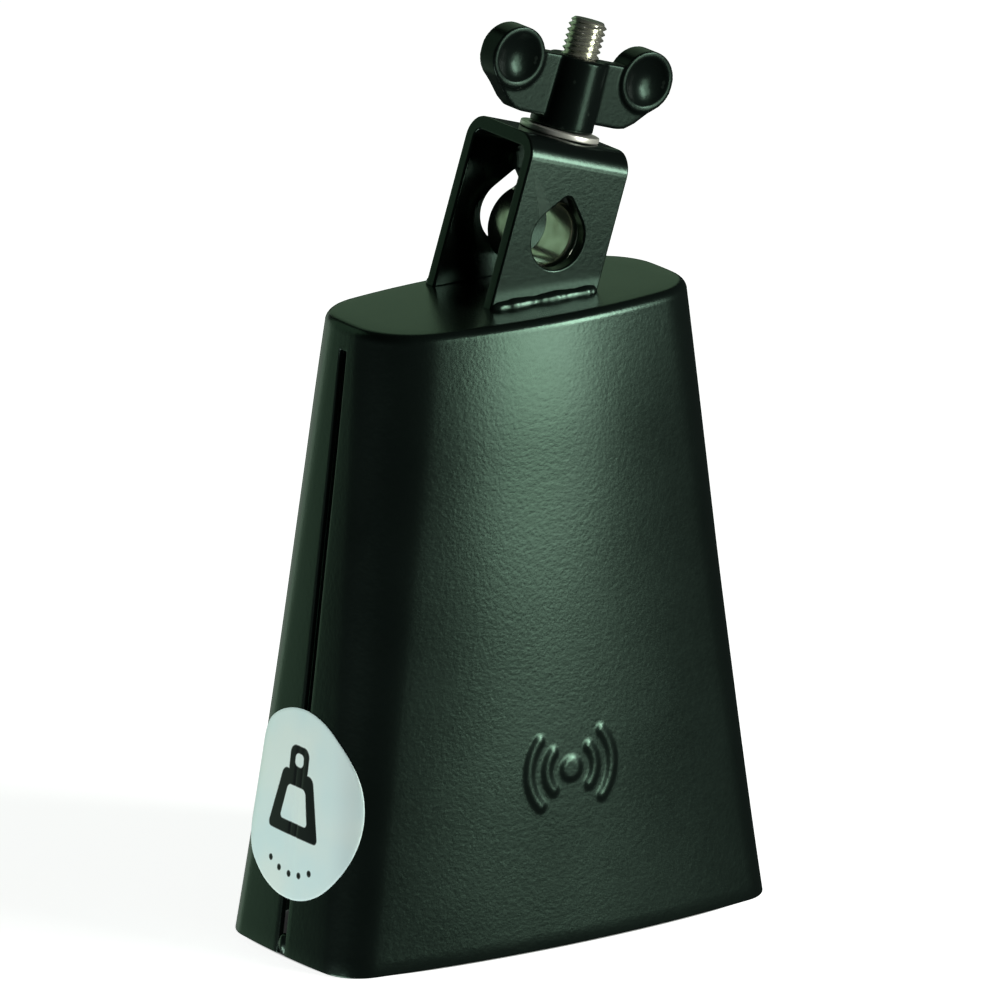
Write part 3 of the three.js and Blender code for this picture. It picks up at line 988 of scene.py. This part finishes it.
def label_print(tree):
    """1 where ink is: the outline of a bell in the middle, and a row of dots below it."""
    spot = put(tree, "SeparateXYZ", {0: put(tree, "UVMap", uv_map="print").outputs[0]})
    x, y = spot.outputs[0], spot.outputs[1]

    def calc(operation, *values):
        return math_node(tree, operation, *values)

    def box(cy, half_width, half_height, rounding, taper=0.0):
        """Distance inside a round-cornered box that narrows upwards by taper."""
        up = calc("SUBTRACT", y, cy)
        across = calc("ABSOLUTE", calc("SUBTRACT", x, PRINT_ACROSS))
        across = calc("ADD", across, calc("MULTIPLY", up, taper))
        a = calc("MAXIMUM", calc("SUBTRACT", across, half_width - rounding), 0.0)
        b = calc("SUBTRACT", calc("ABSOLUTE", up), half_height - rounding)
        b = calc("MAXIMUM", b, 0.0)
        return calc("SUBTRACT", rounding, length_node(tree, a, b))

    def dot(cx, cy, radius):
        """Distance inside a round dot."""
        far = length_node(tree, calc("SUBTRACT", x, cx), calc("SUBTRACT", y, cy))
        return calc("SUBTRACT", radius, far)

    body = box(cy=0.0, half_width=0.36, half_height=0.34, rounding=0.07, taper=0.28)
    hollow = box(cy=-0.01, half_width=0.2, half_height=0.19, rounding=0.05, taper=0.24)
    loop = box(cy=0.44, half_width=0.17, half_height=0.17, rounding=0.1)
    loop_hole = box(cy=0.46, half_width=0.07, half_height=0.07, rounding=0.05)
    ink = calc("MAXIMUM", body, loop)
    for hole in (hollow, loop_hole):
        ink = calc("MINIMUM", ink, calc("MULTIPLY", hole, -1.0))
    out = PRINT_DOTS["out"]
    for step in range(PRINT_DOTS["count"]):
        angle = math.radians(PRINT_DOTS["first"] + PRINT_DOTS["apart"] * step)
        point = dot(out * math.cos(angle), out * math.sin(angle), PRINT_DOTS["radius"])
        ink = calc("MAXIMUM", ink, point)
    return spread(tree, ink, -PRINT_SOFTNESS, PRINT_SOFTNESS, 0, 1)


def label_film(name):
    """Pale, faintly metallic film with a darker, glossier print that stands a little off it."""
    material, tree, shader = principled(name, {"Specular IOR Level": 0.3})
    place_at = object_place(tree)
    ink = label_print(tree)
    clouds = noise_at(tree, place_at, FILM_TEXTURE["cloud"], 2)
    film = blend_colours(tree, spread(tree, clouds, 0.35, 0.65, 0, 1), FILM_BLUE, FILM_GREEN)
    grain = noise_at(tree, place_at, FILM_TEXTURE["grain"], 3)
    grain = math_node(tree, "MULTIPLY", grain, 0.4)
    height = math_node(tree, "ADD", grain, math_node(tree, "MULTIPLY", ink, 0.6))
    looks = {
        "Base Color": blend_colours(tree, ink, film, INK),
        "Roughness": spread(tree, ink, 0, 1, 0.42, 0.3),
        "Metallic": spread(tree, ink, 0, 1, 0.08, 0.0),
        "Normal": bump_normal(tree, height, FILM_TEXTURE["grain_depth"]),
    }
    feed(tree, shader, looks)
    return material


# Stage


def camera():
    """Looks at the aim from the photograph's angle."""
    azimuth, elevation = CAMERA_AZIMUTH, CAMERA_ELEVATION
    level = math.cos(elevation)
    back = Vector((math.sin(azimuth) * level, -math.cos(azimuth) * level, math.sin(elevation)))
    right = Vector((math.cos(azimuth), math.sin(azimuth), 0))
    up = back.cross(right)
    turn = Matrix.Rotation(CAMERA_ROLL, 3, back)
    right, up = turn @ right, turn @ up
    data = bpy.data.cameras.new("camera")
    data.sensor_width = SENSOR
    data.lens = LENS
    data.clip_end = 50
    eye = bpy.data.objects.new("camera", data)
    eye.rotation_mode = "QUATERNION"
    eye.rotation_quaternion = Matrix((right, up, back)).transposed().to_quaternion()
    eye.location = CAMERA_AIM + back * CAMERA_DISTANCE
    eye.location += right * CAMERA_SLIDE[0]
    eye.location += up * CAMERA_SLIDE[1]
    bpy.context.scene.collection.objects.link(eye)
    bpy.context.scene.camera = eye


def softbox(name, towards, distance, middle, width, height, radiance, tint, raised=0):
    """A flat light that faces the point at height middle on the Z axis.

    towards is its compass angle from the front, and raised how far it stands above that point,
    both in degrees. A negative raised puts it below."""
    angle, up = math.radians(towards), math.radians(raised)
    light = bpy.data.lights.new(name, "AREA")
    light.shape = "RECTANGLE"
    light.size = width
    light.size_y = height
    light.energy = radiance * math.pi * width * height
    light.color = tint
    box = bpy.data.objects.new(name, light)
    level = distance * math.cos(up)
    away = Vector((level * math.sin(angle), -level * math.cos(angle), distance * math.sin(up)))
    box.location = Vector((0, 0, middle)) + away
    box.rotation_mode = "QUATERNION"
    box.rotation_quaternion = (-away).to_track_quat("-Z", "Y")
    box.visible_camera = False
    bpy.context.scene.collection.objects.link(box)


def mouth_share(tree, place_at):
    """Below 1 on the ground inside the bell's mouth and above 1 outside it."""
    spot = put(tree, "SeparateXYZ", {0: place_at}).outputs
    shares = []
    for along, across, reach, radius in (
        (spot[0], spot[1], MOUTH["half_length"], MOUTH["end_radius"]),
        (spot[1], spot[0], MOUTH["half_depth"], MOUTH["long_radius"]),
    ):
        sag = math_node(tree, "MULTIPLY", across, across)
        sag = math_node(tree, "MULTIPLY", sag, 1 / (2 * radius * MM))
        distance = math_node(tree, "ADD", math_node(tree, "ABSOLUTE", along), sag)
        share = math_node(tree, "MULTIPLY", distance, 1 / (reach * MM))
        shares.append(math_node(tree, "POWER", share, MOUTH_SQUARENESS))
    return math_node(tree, "POWER", math_node(tree, "ADD", *shares), 1 / MOUTH_SQUARENESS)


def floor():
    """A pale floor that casts no light on the object, with painted shadow where the bell stands."""
    sides = ((-1, -1), (1, -1), (1, 1), (-1, 1))
    corners = [(x * FLOOR_REACH, y * FLOOR_REACH, -FLOOR_DROP) for x, y in sides]
    piece = make_mesh("floor", corners, [(0, 1, 2, 3)])
    settings = {"Roughness": 0.9, "Specular IOR Level": 0.1, "Emission Color": WHITE}
    material, tree, shader = principled("pale_floor", settings)
    place_at = object_place(tree)
    patches = noise_at(tree, place_at, FLOOR_PATCH, 2)
    away = mouth_share(tree, place_at)
    # The glow falls to a painted shadow inside the bell's mouth.
    glow = (FLOOR_GLOW["from_share"], 1.0, FLOOR_GLOW["under"], FLOOR_GLOW["open"])
    looks = {
        "Base Color": blend_colours(tree, patches, FLOOR_DARK, FLOOR_LIGHT),
        "Emission Strength": spread(tree, away, *glow),
    }
    feed(tree, shader, looks)
    piece.data.materials.append(material)
    piece.visible_glossy = False
    piece.visible_diffuse = False
    piece.visible_shadow = False


def world():
    """White where the camera looks past the object, and a dim room for everything else."""
    scene_world = bpy.data.worlds.new("room")
    bpy.context.scene.world = scene_world
    scene_world.use_nodes = True
    tree = scene_world.node_tree
    tree.nodes.clear()
    seen = put(tree, "LightPath").outputs["Is Camera Ray"]
    shade = blend_colours(tree, seen, ROOM, WHITE)
    background = put(tree, "Background", {"Color": shade, "Strength": 1.0})
    put(tree, "OutputWorld", {"Surface": background.outputs[0]})


def lights():
    softbox(
        "key", towards=29, distance=1.0, middle=0.2525,
        width=0.32, height=0.695, radiance=9.4, tint=(0.98, 1.0, 0.93),
    )
    softbox(
        "key_side", towards=40, distance=1.0, middle=0.37,
        width=0.18, height=0.46, radiance=28.0, tint=(0.98, 1.0, 0.96),
    )
    softbox(
        "rear_left", towards=204, distance=0.8, middle=0.25,
        width=0.5, height=1.4, radiance=0.32, tint=(0.62, 1.0, 0.66),
    )
    softbox(
        "rear_right", towards=151, distance=0.8, middle=0.58,
        width=0.5, height=0.76, radiance=0.31, tint=(0.62, 1.0, 0.62),
    )
    softbox(
        "rear_low", towards=180, distance=0.8, middle=-0.02,
        width=0.5, height=0.5, radiance=0.4, tint=(0.8, 1.0, 0.82),
    )
    softbox(
        "side", towards=-91, distance=0.85, middle=0.06,
        width=0.6, height=0.45, radiance=9.0, tint=(1, 1, 1), raised=-42,
    )


# Assembly


def finish_piece(piece, body, material, node):
    piece.data.materials.clear()
    piece.data.materials.append(material)
    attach(piece, body)
    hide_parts(node)


camera()
bpy.context.scene.view_settings.view_transform = "Standard"

bell_coat = powder_coat("bell_coat", BLACK, WORN, roughness=0.25, peel=0.016)
bracket_coat = powder_coat("bracket_coat", BLACK, WORN, roughness=0.19, peel=0.008, sheen=0.33)
nut_coat = powder_coat("nut_coat", BLACK, WORN, roughness=0.25, peel=0.01, sheen=0.165)
bolt_plate = nickel_plate("bolt_plate", (0.76, 0.77, 0.67, 1), roughness=0.17, metallic=0.88)
washer_plate = nickel_plate("washer_plate", (0.88, 0.88, 0.82, 1), roughness=0.32, metallic=0.7)
film = label_film("label_film")

finish_piece(bell(), "bell", bell_coat, "bell_shell")
for end, side in (("left", -1), ("right", 1)):
    weld = seam_weld(f"tack_weld_{end}", side)
    finish_piece(weld, "bell", bell_coat, f"seam_weld_{end}")
finish_piece(label(), "bell", film, "round_label")
finish_piece(bracket(), "bell", bracket_coat, "bracket")
for leg, side in (("front", -1), ("rear", 1)):
    bead = bracket_weld(f"weld_bead_{leg}", side)
    finish_piece(bead, "bell", bracket_coat, f"bracket_weld_{leg}")
finish_piece(eye_bolt(), "eye_bolt", bolt_plate, "eye_bolt")
finish_piece(washer(), "bell", washer_plate, "washer")
finish_piece(wing_nut(), "wing_nut", nut_coat, "wing_nut")

floor()
world()
lights()
